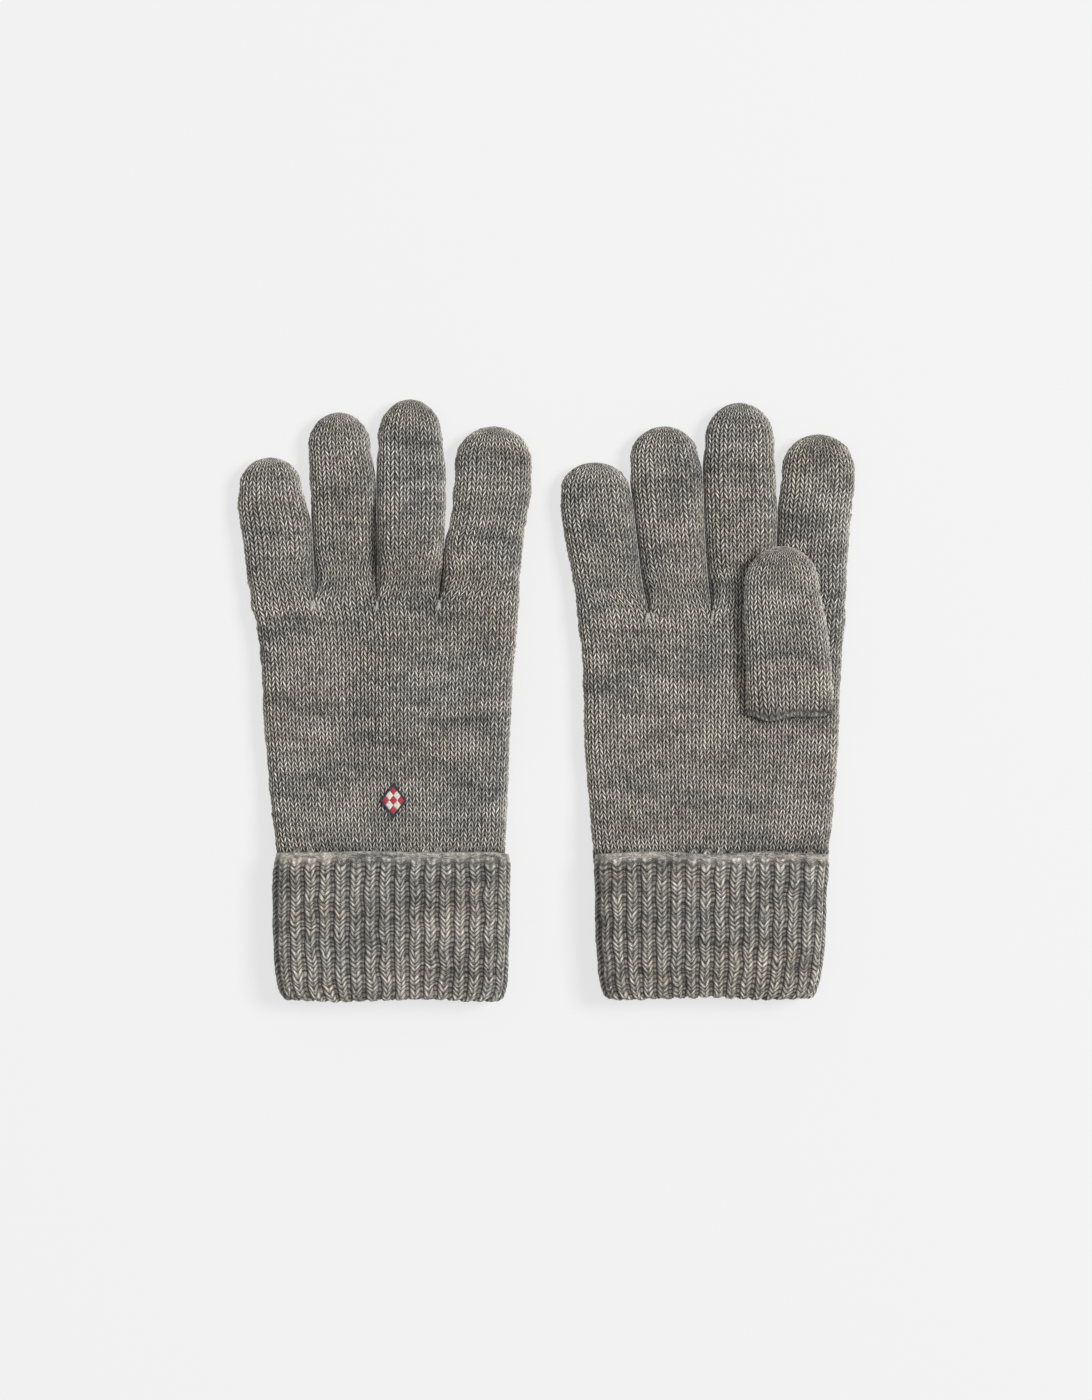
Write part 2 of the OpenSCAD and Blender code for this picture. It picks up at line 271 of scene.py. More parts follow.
def make_mesh(name, rows, knit, leg, loop=False, poles=False, span=0.0, turned=False):
    """A mesh of rings of points: each joins the next, loop joins the last to the first, poles shut both ends.
    knit holds wale, course and depth (the amount of painted shade), leg the place across a stitch, and span
    the wales in a ring."""
    if turned:
        rows, knit, leg, span = rows[:, ::-1], knit[:, ::-1], leg[:, ::-1], -span
    n_rows, n_cols = rows.shape[:2]
    i = np.arange(n_rows if loop else n_rows - 1)[:, None] + np.zeros(n_cols, int)
    j = np.arange(n_cols) + 0 * i
    near, far = i * n_cols, ((i + 1) % n_rows) * n_cols
    j2 = (j + 1) % n_cols
    corners = np.stack([near + j, near + j2, far + j2, far + j], axis=-1).reshape(-1)
    wrap = np.where(j + 1 == n_cols, span, 0.0)
    shift = np.stack([0 * wrap, wrap, wrap, 0 * wrap], axis=-1).reshape(-1)
    sizes = np.full(i.size, 4)
    points, knit, leg = rows.reshape(-1, 3), knit.reshape(-1, 3), leg.reshape(-1, 3)
    corner_knit = knit[corners]
    if poles:
        for row in (0, n_rows - 1):
            ring = row * n_cols + np.arange(n_cols)
            ring2 = row * n_cols + (np.arange(n_cols) + 1) % n_cols
            middle = np.full(n_cols, len(points))
            tris = np.stack([ring, ring2, middle] if row else [ring2, ring, middle], axis=-1).reshape(-1)
            corners = np.concatenate([corners, tris])
            sizes = np.concatenate([sizes, np.full(n_cols, 3)])
            corner_knit = np.concatenate([corner_knit, np.repeat(knit[ring], 3, axis=0)])
            shift = np.concatenate([shift, np.zeros(3 * n_cols)])
            points = np.concatenate([points, points[ring].mean(0)[None]])
            leg = np.concatenate([leg, leg[ring].mean(0)[None]])
    corner_knit = corner_knit + shift[:, None] * np.array([1.0, 0.0, 0.0])
    mesh = bpy.data.meshes.new(name)
    mesh.vertices.add(len(points))
    mesh.vertices.foreach_set("co", (points * MM).astype(np.float32).ravel())
    mesh.loops.add(len(corners))
    mesh.loops.foreach_set("vertex_index", corners.astype(np.int32))
    mesh.polygons.add(len(sizes))
    mesh.polygons.foreach_set("loop_start", np.concatenate([[0], np.cumsum(sizes)[:-1]]).astype(np.int32))
    mesh.update(calc_edges=True)
    for attribute_name, domain, values in (("knit", "CORNER", corner_knit), ("leg", "POINT", leg)):
        data = mesh.attributes.new(attribute_name, "FLOAT_VECTOR", domain).data
        data.foreach_set("vector", values.astype(np.float32).ravel())
    mesh.polygons.foreach_set("use_smooth", np.ones(len(mesh.polygons), bool))
    obj = bpy.data.objects.new(name, mesh)
    bpy.context.scene.collection.objects.link(obj)
    return obj


def normals(surface, u, v, step=0.05):
    """Unit normals of a surface, outward where v runs toward the fingertips."""
    du = surface(u + step, v) - surface(u - step, v)
    dv = surface(u, v + 0.05) - surface(u, v - 0.05)
    n = np.cross(du, dv)
    return n / np.maximum(np.linalg.norm(n, axis=-1, keepdims=True), 1e-9)


def stockinette(surface, u, w, v0, phase_at_0, scale, patch, end=1000.0, shut=False, painted_shading=None):
    """Points of stockinette fabric over a surface: u wales round, w courses along, legs climbing in chevrons.
    The courses end in a plain spot at end, shut starts them straight, and the last argument gives painted
    shade: below 1 where the colour is darkened as if shaded."""
    phase = u - phase_at_0 - PHASE
    t = tri(phase)
    v = v0 + w + CHEVRON * t * (smooth(w / 1.6) if shut else 1)
    base = surface(u, v)
    n = normals(surface, u, v)
    h = wavy_row(w) * np.interp(t, *LEG_PROFILE)
    uneven = 1 + 0.2 * wobble(base, 5.0, 11) + 0.1 * wobble(base, 2.4, 12)
    lift = STITCH_RELIEF * (h * uneven - 1) * scale(u, v)
    lift += 0.16 * wobble(base, 4.4, 13) * np.abs(n[..., 0]) * scale(u, v)
    drift = 0.16 * np.stack([wobble(base, 6.0, 21), wobble(base, 6.0, 22), 0 * u], axis=-1)
    points = base + n * lift[..., None] + drift * np.abs(n[..., 2:3])
    # Painted shade, carried in the knit attribute's third value: 1 where nothing is painted, lower where the
    # colour is darkened.
    clear = painted_shading(u, v) if painted_shading else 1 + 0 * h
    knit = np.stack([phase + 101 * patch, v0 + w + 57 * patch, clear], axis=-1)
    plain = smooth((w - end + 2.4) / 1.6) + (0.75 * smooth(1.6 - w) if shut else 0)
    return points, knit, np.stack([t, 0 * t, plain], axis=-1)


def lining_rings(surface, u, rows_v, inset, patch):
    """Plain rings of the lining, inset from the surface, with a middling amount of painted shade."""
    rings = [surface(u, v + 0 * u) - normals(surface, u, v + 0 * u) * inset for v in rows_v]
    # Painted shade: the lining's colour is darkened by a fixed amount.
    knit = [np.stack([u + 101 * patch, v + 57 * patch + 0 * u, 0.5 + 0 * u], axis=-1) for v in rows_v]
    leg = np.zeros((len(rings), len(u), 3))
    leg[..., 0] = 0.5
    return np.array(rings), np.array(knit), leg


def joined(*parts):
    """Rows of points, knit and leg values, one after the other."""
    return [np.concatenate(group) for group in zip(*parts)]


# ---------------------------------------------------------------- hands

def hand_mid(side, x, y):
    """Height of the middle of the hand: level with the cuff first, then down to the table."""
    return mix(CUFF_T / 2, BODY_T / 2, smooth((y - CUFF_TOP[side]) / 28)) + thumb_lift(side, x, y)


def hand_half_t(side, y):
    """Half the thickness of the hand, which dips a little where the cuff starts."""
    dip = CUFF_DIP * (1 - smooth((y - CUFF_TOP[side]) / 6))
    return mix(HAND_T_IN_CUFF, BODY_T, smooth((y - CUFF_TOP[side]) / 20)) / 2 - dip


def hand_surface(side):
    edges = both_edges(HAND_EDGES[side])
    y_k = KNUCKLE_Y[side]

    def surface(u, v):
        y = y_k + v * COURSE
        lo, hi = edges.at(y)
        part, over = folded(u, HALF_WALES)
        half_t = hand_half_t(side, y)
        total = 2 * arc(HAND_CORNER, half_t) + hi - lo - 2 * HAND_CORNER
        x, z = ring_point(part / HALF_WALES * total, lo, hi, HAND_CORNER, HAND_CORNER, half_t, 0.0)
        z = np.where(over, z, -z)
        return np.stack([x, y, z + hand_mid(side, x, y)], axis=-1)

    return surface


def crotch_x(side, k):
    """Where one finger parts from the next, at the line of the knuckles."""
    return float(hand_surface(side)(np.array(float(CROTCHES[side][k])), np.array(0.0))[0])


def make_hand(side):
    """The hand tube and its lining, with painted shade darkening its colour just above the cuff's edge and
    along the thumb's base.
    """
    surface = hand_surface(side)
    patch = 1 + SIDES.index(side)
    start = -round((KNUCKLE_Y[side] - HAND_EDGES[side][0][0]) / COURSE)
    u = np.arange(2 * HALF_WALES * COLS) / COLS
    uu, ww = np.meshgrid(u, np.arange(-start * ROWS + 1) / ROWS)
    thumb_y, thumb_lo, thumb_hi = THUMB_EDGES[side][0][0]

    # Painted shade: darker colour just above the cuff's edge, and in a band along the thumb's base.
    def painted_shading(u, v):
        x, y = surface(u, v)[..., 0], KNUCKLE_Y[side] + v * COURSE
        beside = smooth((x - thumb_lo) / 6) * smooth((thumb_hi - x) / 6)
        thumb_base_painted_shade = np.exp(-np.square((y - thumb_y) / 2.6)) * beside
        return smooth((y - CUFF_TOP[side] + 0.4) / 2.4) * (1 - 0.55 * thumb_base_painted_shade)

    outer = stockinette(surface, uu, ww, start, 0.0, lambda u, v: 1.0, patch, painted_shading=painted_shading)
    lining = lining_rings(surface, u, np.linspace(-0.4, start + 0.5, 14), FABRIC, patch)
    return make_mesh(side + "_hand_knit", *joined(outer, lining), loop=True, span=2 * HALF_WALES)


# ---------------------------------------------------------------- fingers

def finger_surface(side, k):
    """A finger's surface, half its wales, the wales on its low wall, its courses, relief and the painted
    shade of its creases.
    """
    name = FINGERS[k]
    free_lo, free_hi, tip_y = FINGER_EDGES[side][name]
    y_k = KNUCKLE_Y[side]
    outer_lo, outer_hi = k == 0, k == len(FINGERS) - 1
    hand_lo, hand_hi = both_edges(HAND_EDGES[side]).at(np.array([y_k, y_k + 3]))
    lo0 = hand_lo[0] if outer_lo else crotch_x(side, k)
    hi0 = hand_hi[0] if outer_hi else crotch_x(side, k + 1)
    crease_lo = () if outer_lo else tuple((y, x + CREASE_GAP / 2) for y, x in CREASES[side][k - 1])
    crease_hi = () if outer_hi else tuple((y, x - CREASE_GAP / 2) for y, x in CREASES[side][k])
    edges = Edges(((y_k - 6, lo0), (y_k + 3, lo0)) + crease_lo + free_lo,
                  ((y_k - 6, hi0), (y_k + 3, hi0)) + crease_hi + free_hi)
    dome_y = free_lo[-1][0]
    dome = tip_y - dome_y
    n_top = CROTCHES[side][k + 1] - CROTCHES[side][k]
    wall_lo = 0 if outer_lo else WALL_WALES
    wall_hi = 0 if outer_hi else WALL_WALES
    half = wall_lo + n_top + wall_hi
    base_mid = (lo0 + hi0) / 2

    def surface(u, v):
        s = v * COURSE
        along = y_k + s
        angle = clamp01((along - dome_y) / dome / (math.pi / 2)) * math.pi / 2 * TIP_CLOSE
        y = np.where(along < dome_y, along, dome_y + dome * np.sin(angle))
        k_wide = np.cos(angle)
        lo, hi = edges.at(np.minimum(y, dome_y))
        centre, wide = (lo + hi) / 2, (hi - lo) / 2 * k_wide
        lo, hi = centre - wide, centre + wide
        parted = smooth((y - y_k - COURSE * 0.6) / ROUNDING_RUN) ** 0.62
        rounded = smooth((y - y_k) / ROUNDING_RUN)
        free_corner = mix(HAND_CORNER, FINGER_CORNER, rounded)
        crease_corner = mix(0.15, FINGER_CORNER, parted)
        corner_lo, corner_hi = (np.minimum((free_corner if outer else crease_corner) * k_wide, 0.96 * wide)
                                for outer in (outer_lo, outer_hi))
        half_t = BODY_T / 2 * k_wide ** TIP_FULL
        la, lb = arc(corner_lo, half_t), arc(corner_hi, half_t)
        flat = hi - lo - corner_lo - corner_hi
        total = la + flat + lb
        part, over = folded(u, half)
        even = part / half * total
        marks = [(0.0, 0.0 * total)]
        if not outer_lo:
            marks.append((wall_lo, la))
        marks.append((wall_lo + n_top, total - (0 if outer_hi else lb)))
        if not outer_hi:
            marks.append((half, total))
        pinned = np.zeros(np.shape(u))
        for (u0, d0), (u1, d1) in zip(marks[:-1], marks[1:]):
            inside_piece = (part >= u0) & (part <= u1)
            pinned = np.where(inside_piece, mix(d0, d1, (part - u0) / (u1 - u0)), pinned)
        d = mix(pinned, even, smooth((y - y_k - COURSE) / 20))
        x, z = ring_point(d, lo, hi, corner_lo, corner_hi, half_t, 0.5 * rounded)
        z = np.where(over, z, -z)
        lift_x = mix(x, base_mid, 0.5 * smooth((y - y_k) / 22))
        x = x + LEAN * z * smooth((y - y_k - 1) / 5)
        return np.stack([x, y, z + BODY_T / 2 + thumb_lift(side, lift_x, y)], axis=-1)

    courses = (dome_y - y_k + dome * math.pi / 2) / COURSE - CHEVRON * 0.6

    def pressed(u, v, reach):
        """1 where a finger presses against its neighbour."""
        to_lo, _ = folded(u, half)
        total = 0
        for outer, crease, wales in ((outer_lo, k - 1, to_lo), (outer_hi, k, half - to_lo)):
            if not outer:
                touching = smooth((PARTED_Y[side][crease] - y_k - v * COURSE) / 6)
                total = total + np.exp(-np.square(wales / reach)) * touching
        return total

    def relief(u, v):
        tip = np.cos(clamp01((y_k + v * COURSE - dome_y) / dome / (math.pi / 2)) * math.pi / 2)
        return clamp01(tip) ** 0.8 * (1 - 0.9 * pressed(u, v, 0.8))

    # Painted shade: darker colour on the walls where the finger presses against its neighbour.
    def painted_shading(u, v):
        return 1 - 0.85 * clamp01(pressed(u, v, 1.35)) * smooth(v / 2)

    return surface, half, wall_lo, courses, relief, painted_shading


def make_finger(side, k):
    surface, half, wall_lo, courses, relief, painted_shading = finger_surface(side, k)
    patch = 3 + 4 * SIDES.index(side) + k
    u = np.arange(round(2 * half * COLS)) / COLS
    uu, ww = np.meshgrid(u, np.arange(int(courses * ROWS) + 1) / ROWS)
    outer = stockinette(surface, uu, ww, 0.0, wall_lo, relief, patch, end=courses, painted_shading=painted_shading)
    lining = lining_rings(surface, u, np.linspace(courses - FABRIC / COURSE - 0.8, 0.2, 16), FABRIC, patch)
    return make_mesh(f"{side}_{FINGERS[k]}_finger_knit", *joined(lining, outer), poles=True, span=2 * half)


# ---------------------------------------------------------------- thumbs

def thumb_surface(side):
    """A thumb lies flat against the palm at its base, and is full and round at its tip."""
    above, tip_y = THUMB_EDGES[side]
    edges = both_edges(above)
    base_y = above[0][0] + 1.0
    dome_y = above[-1][0]
    dome = tip_y - dome_y
    lip, half = THUMB_LIP, THUMB_WALES
    palm_z = {"left": THUMB_T, "right": BODY_T + THUMB_CLEAR}[side]
    away = {"left": -1, "right": 1}[side]
    start = base_y + lip
    base_len = lip * math.pi / 2

    def surface(u, v):
        s = v * COURSE
        base_angle = clamp01((base_len - s) / base_len) * math.pi / 2 * 0.97
        along = start + s - base_len
        tip_angle = clamp01((along - dome_y) / dome / (math.pi / 2)) * math.pi / 2 * TIP_CLOSE
        y = np.where(s < base_len, start - lip * np.sin(base_angle),
                     np.where(along < dome_y, along, dome_y + dome * np.sin(tip_angle)))
        k_wide, k_base = np.cos(tip_angle), np.cos(base_angle)
        lo, hi = edges.at(np.clip(y, base_y, dome_y))
        centre, wide = (lo + hi) / 2, (hi - lo) / 2 * k_wide - lip * (1 - k_base)
        corner = np.minimum(THUMB_CORNER * k_wide, 0.96 * wide)
        level = mix(lip, THUMB_T / 2, smooth((y - start + 3) / 16))
        half_t = level * k_base * k_wide ** TIP_FULL
        part, over = folded(u, half)
        total = 2 * arc(corner, half_t) + 2 * wide - 2 * corner
        x, z = ring_point(part / half * total, centre - wide, centre + wide, corner, corner, half_t,
                          0.4 * k_base)
        z = np.where(over, z, -z)
        spot = np.stack([x, 0 * x, z], axis=-1)
        y = y + wobble(spot, 14.0, 51) * (1 - smooth((y - base_y) / 14))
        return np.stack([x, y, palm_z + away * level + z], axis=-1)

    courses = (base_len + dome_y - start + dome * math.pi / 2) / COURSE - CHEVRON * 0.6

    def relief(u, v):
        past_dome = start + v * COURSE - base_len - dome_y
        tip = np.cos(clamp01(past_dome / dome / (math.pi / 2)) * math.pi / 2)
        return clamp01(tip) ** 0.8 * clamp01(v * COURSE / 2 + 0.2)

    return surface, half, courses, relief


def make_thumb(side):
    """A thumb tube, closed at both ends, with painted shade darkening its colour at its base, where it lies
    on the palm.
    """
    surface, half, courses, relief = thumb_surface(side)
    u = np.arange(round(2 * half * COLS)) / COLS
    uu, ww = np.meshgrid(u, np.arange(int(courses * ROWS) + 1) / ROWS)

    # Painted shade: the colour is darkest at the base and clears over the first few courses.
    def painted_shading(u, v):
        return mix(0.2, 1.0, smooth((v - 0.3) / 3.6))

    outer = stockinette(surface, uu, ww, 0.0, 0.0, relief, 11 + SIDES.index(side), courses, True, painted_shading)
    return make_mesh(side + "_thumb_knit", *outer, poles=True, span=2 * half)


# ---------------------------------------------------------------- cuffs

def cuff_surface(side):
    """The turned-back rib: v runs from its free edge down the outside, round the fold and up the inside."""
    edges = both_edges(CUFF_EDGES[side])
    top, bottom = CUFF_TOP[side], CUFF_BOTTOM[side]
    outside = top - bottom - FOLD_R
    fold = math.pi * FOLD_R

    def surface(u, v):
        s = v * COURSE
        angle = clamp01((s - outside) / fold) * math.pi
        y = np.where(s < outside, top - s,
                     np.where(s < outside + fold, bottom + FOLD_R - FOLD_R * np.sin(angle),
                              bottom + FOLD_R + (s - outside - fold)))
        inset = FOLD_R * (1 - np.cos(angle))
        lo, hi = edges.at(y)
        half_t = CUFF_T / 2 - inset
        lo, hi = lo + inset, hi - inset
        corner = np.maximum(CUFF_CORNER - inset, 1.0)
        part, over = folded(u, 1)
        total = 2 * arc(corner, half_t) + hi - lo - 2 * corner
        x, z = ring_point(part * total, lo, hi, corner, corner, half_t, 0.0)
        z = np.where(over, z, -z)
        spot = np.stack([x, 0 * x, z], axis=-1)
        edge_wave = 0.6 * wobble(spot, 30.0, 41) * smooth(1 - s / 16)
        fold_wave = 0.4 * wobble(spot, 26.0, 42) * smooth(s / 20 - 1.6)
        return np.stack([x, y + edge_wave + fold_wave, z + CUFF_T / 2], axis=-1)

    return surface, outside / COURSE, fold / COURSE


def rib(surface, u, w, v0, patch, edge):
    """Points of a one by one rib: raised wales of V stitches with sunk wales between, plain at its edge."""
    repeat = u * RIBS
    phase = repeat - np.floor(repeat)
    raised = phase < RIB_RAISED
    t = np.where(raised, tri(np.minimum(phase / RIB_RAISED, 1)), 0.0)
    sunk = np.where(raised, 0.0, np.sin(math.pi * (phase - RIB_RAISED) / (1 - RIB_RAISED)))
    ribbed = smooth((w + 0.3) / 3.4) if edge else 1.0
    v = v0 + w + CHEVRON * t * ribbed
    base = surface(u, v)
    row = w + 0.3 * wobble(base, 9.0, 35) * smooth(w)
    n = -normals(surface, u, v, 0.002)
    hump = np.where(raised, np.sin(math.pi * np.minimum(phase / RIB_RAISED, 1)) ** 0.6, -0.15 * sunk)
    hump = mix(0.8, hump, ribbed)
    stitch = wavy_row(row) * np.where(raised, np.interp(t, *RIB_PROFILE), 0.6)
    uneven = 1 + 0.24 * wobble(base, 7.0, 31) + 0.12 * wobble(base, 2.6, 32)
    h = RIB_RELIEF * hump * uneven + 0.5 * mix(0.8, stitch, ribbed)
    sway = 0.34 * wobble(base, 13.0, 33) + 0.17 * wobble(base, 5.0, 34)
    points = base + n * (h - RIB_RELIEF - 0.4)[..., None]
    points[..., 0] += sway * np.abs(n[..., 2]) * smooth(w / 3)
    # Painted shade: the knit's third value follows the hump, so the colour darkens in the sunk wales.
    knit = np.stack([repeat + 101 * patch, v0 + row + 57 * patch, np.clip(hump, 0, 1)], axis=-1)
    return points, knit, np.stack([t, sunk, 1 - ribbed + 0 * t], axis=-1)


def cuff_back(surface, u, rows, patch):
    """Plain rings on the side of the turned cuff that nobody sees: pairs of course and depth."""
    rings = [surface(u, v + 0 * u) + normals(surface, u, v + 0 * u, 0.002) * depth for v, depth in rows]
    # Painted shade: the hidden back of the cuff is darkened by a fixed amount.
    knit = [np.stack([u * RIBS + 101 * patch, v + 57 * patch + 0 * u, 0.3 + 0 * u], axis=-1) for v, _ in rows]
    leg = np.zeros((len(rings), len(u), 3))
    leg[..., 0] = 0.5
    return np.array(rings), np.array(knit), leg


def make_cuff(side):
    """The turned layer, from its free edge round the fold and back, and the ribbed lining inside."""
    surface, outside, fold = cuff_surface(side)
    patch = 13 + SIDES.index(side)
    u = np.arange(int(2 * RIBS * RIB_COLS)) / (RIBS * RIB_COLS)
    edge_v = 0.35
    last = outside + fold
    uu, ww = np.meshgrid(u, np.arange(int((last - edge_v) * ROWS) + 1) / ROWS)
    outer = rib(surface, uu, ww, edge_v, patch, True)
    back = cuff_back(surface, u, [(last, CUFF_BACK), (outside, CUFF_BACK)]
                     + [(mix(outside, 1.0, t), CUFF_BACK) for t in (0.25, 0.5, 0.75, 1)]
                     + [(edge_v, 1.8), (0.1, 1.1)], patch)
    turned = make_mesh(side + "_turned_cuff_knit", *joined(outer, back), loop=True, span=2 * RIBS,
                       turned=True)

    length = (CUFF_TOP[side] - CUFF_BOTTOM[side] - FOLD_R) / COURSE
    uu, ww = np.meshgrid(u, np.arange(int(length * 2) + 1) / 2)
    inner = rib(surface, uu, ww, last, patch, False)
    lining = make_mesh(side + "_cuff_lining_knit", *inner, span=2 * RIBS, turned=True)
    return turned, lining


# ---------------------------------------------------------------- crotch stitches and emblem

def tube(path, radius, sides=8):
    """Points and faces of a closed loop of yarn along a path."""
    ahead = np.roll(path, -1, 0) - np.roll(path, 1, 0)
    ahead /= np.linalg.norm(ahead, axis=1, keepdims=True)
    side_way = np.cross(ahead, np.array([0.31, 0.22, 0.92]))
    side_way /= np.linalg.norm(side_way, axis=1, keepdims=True)
    up_way = np.cross(side_way, ahead)
    turn = np.arange(sides) * 2 * math.pi / sides
    ring = path[:, None] + radius * (np.cos(turn)[None, :, None] * side_way[:, None]
                                     + np.sin(turn)[None, :, None] * up_way[:, None])
    n = len(path)
    i, j = np.meshgrid(np.arange(n), np.arange(sides), indexing="ij")
    i2, j2 = (i + 1) % n, (j + 1) % sides
    quads = np.stack([i * sides + j, i * sides + j2, i2 * sides + j2, i2 * sides + j], axis=-1)
    return ring.reshape(-1, 3), quads.reshape(-1, 4)


def simple_mesh(name, points, faces, materials, slots=None):
    """A smooth mesh from points and faces, with the material slot of each face."""
    mesh = bpy.data.meshes.new(name)
    mesh.from_pydata((np.asarray(points) * MM).tolist(), [], [tuple(f) for f in faces])
    for material in materials:
        mesh.materials.append(material)
    if slots is not None:
        mesh.polygons.foreach_set("material_index", np.asarray(slots, np.int32))
    mesh.polygons.foreach_set("use_smooth", np.ones(len(mesh.polygons), bool))
    mesh.update()
    obj = bpy.data.objects.new(name, mesh)
    bpy.context.scene.collection.objects.link(obj)
    return obj


def make_crotch_stitches(side):
    """Knots of yarn that close the crotches: strands wound through both sides of the glove."""
    points, faces, count = [], [], 0
    turn = np.linspace(0, 2 * math.pi, 160, endpoint=False)
    over = np.tanh(2.2 * np.sin(turn)) / math.tanh(2.2)
    for k, strands in KNOT_STRANDS.items():
        x = crotch_x(side, k)
        y = KNUCKLE_Y[side] - 0.6
        z = BODY_T / 2 + float(thumb_lift(side, np.array(x), np.array(y)))
        for n, offset in enumerate(strands):
            reach = 2.3 - 0.35 * n
            path = np.stack([x + offset + 0.45 * np.cos(turn + 2 * n), y + reach * np.cos(turn) + 0.3 * n,
                             z + (BODY_T / 2 + KNOT_PROUD[side]) * over], axis=-1)
            part, quads = tube(path, YARN_R)
            points.append(part)
            faces.append(quads + count)
            count += len(part)
    return simple_mesh(side + "_crotch_knots", np.concatenate(points), np.concatenate(faces), [KNOT_YARN])


def make_emblem():
    """A lozenge of nine small lozenges in satin stitch, outlined in a dark thread."""
    lo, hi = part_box("left_emblem")
    centre, half = (lo + hi) / 2 / MM, (hi - lo) / 2 / MM
    n = EMBLEM_GRID
    p, q = np.meshgrid(np.linspace(0, 1, n + 1), np.linspace(0, 1, n + 1), indexing="ij")
    x = centre.x + (p - q) * half.x
    y = centre.y + (p + q - 1) * half.y
    rim = np.minimum(np.minimum(p, 1 - p), np.minimum(q, 1 - q))
    outline = rim < OUTLINE
    a, b = (np.clip((t - OUTLINE) / (1 - 2 * OUTLINE) * 3, 0, 2.999) for t in (p, q))
    odd = (np.floor(a) + np.floor(b)) % 2
    thread = np.where(odd > 0, np.abs(np.sin(math.pi * a * THREADS)), np.abs(np.sin(math.pi * b * THREADS)))
    cell_rim = np.minimum(np.minimum(a % 1, 1 - a % 1), np.minimum(b % 1, 1 - b % 1))
    border_turn = np.where(np.minimum(p, 1 - p) < np.minimum(q, 1 - q), q, p)
    height = np.where(outline, 0.62 + 0.16 * np.abs(np.sin(math.pi * border_turn * 22)),
                      0.34 + 0.14 * thread + 0.2 * smooth(cell_rim * 4))
    height = height * smooth(rim / 0.02 + 0.1)
    flat = hand_mid("left", x, y)
    top_z = flat + hand_half_t("left", y) + height
    top = np.stack([x, y, top_z], axis=-1).reshape(-1, 3)
    bottom = np.stack([x, y, top_z - height - 0.5], axis=-1).reshape(-1, 3)
    i, j = (t.reshape(-1) for t in np.meshgrid(np.arange(n), np.arange(n), indexing="ij"))
    m = n + 1
    quads = np.stack([i * m + j, (i + 1) * m + j, (i + 1) * m + j + 1, i * m + j + 1], axis=-1)
    under = quads[:, ::-1] + m * m
    step = np.arange(n)
    ring = np.concatenate([step * m, n * m + step, (n - step) * m + n, n - step])
    ahead = np.roll(ring, -1)
    wall = np.stack([ahead, ring, ring + m * m, ahead + m * m], axis=-1)
    in_outline = outline[i, j] | outline[np.minimum(i + 1, n), np.minimum(j + 1, n)]
    colour = np.where(in_outline, 2, odd[i, j]).astype(int)
    slots = np.concatenate([colour, np.full(len(under), 2), np.full(len(wall), 2)])
    return simple_mesh("embroidered_lozenge", np.concatenate([top, bottom]),
                       np.concatenate([quads, under, wall]), [RED_THREAD, CREAM_THREAD, NAVY_THREAD], slots)


# ---------------------------------------------------------------- materials

def new_material(name):
    material = bpy.data.materials.new(name)
    material.use_nodes = True
    return material, material.node_tree, material.node_tree.nodes["Principled BSDF"]


def node(tree, kind, **values):
    n = tree.nodes.new(kind)
    for key, value in values.items():
        setattr(n, key, value)
    return n


def socket(tree, value, target):
    if isinstance(value, bpy.types.NodeSocket):
        tree.links.new(value, target)
    else:
        target.default_value = value


def math_node(tree, op, a, b=None, c=None):
    n = node(tree, "ShaderNodeMath", operation=op)
    for k, value in enumerate((a, b, c)):
        if value is not None:
            socket(tree, value, n.inputs[k])
    return n.outputs[0]


def stretched(tree, vector, scale):
    n = node(tree, "ShaderNodeMapping")
    tree.links.new(vector, n.inputs["Vector"])
    n.inputs["Scale"].default_value = scale
    return n.outputs[0]


def noise(tree, vector, scale, detail=2.0, rough=0.5):
    n = node(tree, "ShaderNodeTexNoise")
    tree.links.new(vector, n.inputs["Vector"])
    n.inputs["Scale"].default_value = scale
    n.inputs["Detail"].default_value = detail
    n.inputs["Roughness"].default_value = rough
    return n.outputs["Fac"]


def attribute(tree, name):
    return node(tree, "ShaderNodeAttribute", attribute_name=name, attribute_type="GEOMETRY").outputs["Vector"]


def ranged(tree, value, low, high):
    n = node(tree, "ShaderNodeMapRange")
    tree.links.new(value, n.inputs["Value"])
    n.inputs["To Min"].default_value = low
    n.inputs["To Max"].default_value = high
    return n.outputs[0]


def product(tree, a, b):
    n = node(tree, "ShaderNodeVectorMath", operation="MULTIPLY")
    tree.links.new(a, n.inputs[0])
    tree.links.new(b, n.inputs[1])
    return n.outputs[0]


def ramp(tree, value, stops):
    n = node(tree, "ShaderNodeValToRGB")
    elements = n.color_ramp.elements
    elements[0].position, elements[1].position = stops[0][0], stops[-1][0]
    elements[0].color, elements[1].color = (*stops[0][1], 1), (*stops[-1][1], 1)
    for place, color in stops[1:-1]:
        elements.new(place).color = (*color, 1)
    tree.links.new(value, n.inputs[0])
    return n.outputs[0]


def add_bump(tree, shader, height, strength, distance):
    bump = node(tree, "ShaderNodeBump")
    bump.inputs["Strength"].default_value = strength
    bump.inputs["Distance"].default_value = distance
    tree.links.new(height, bump.inputs["Height"])
    tree.links.new(bump.outputs[0], shader.inputs["Normal"])


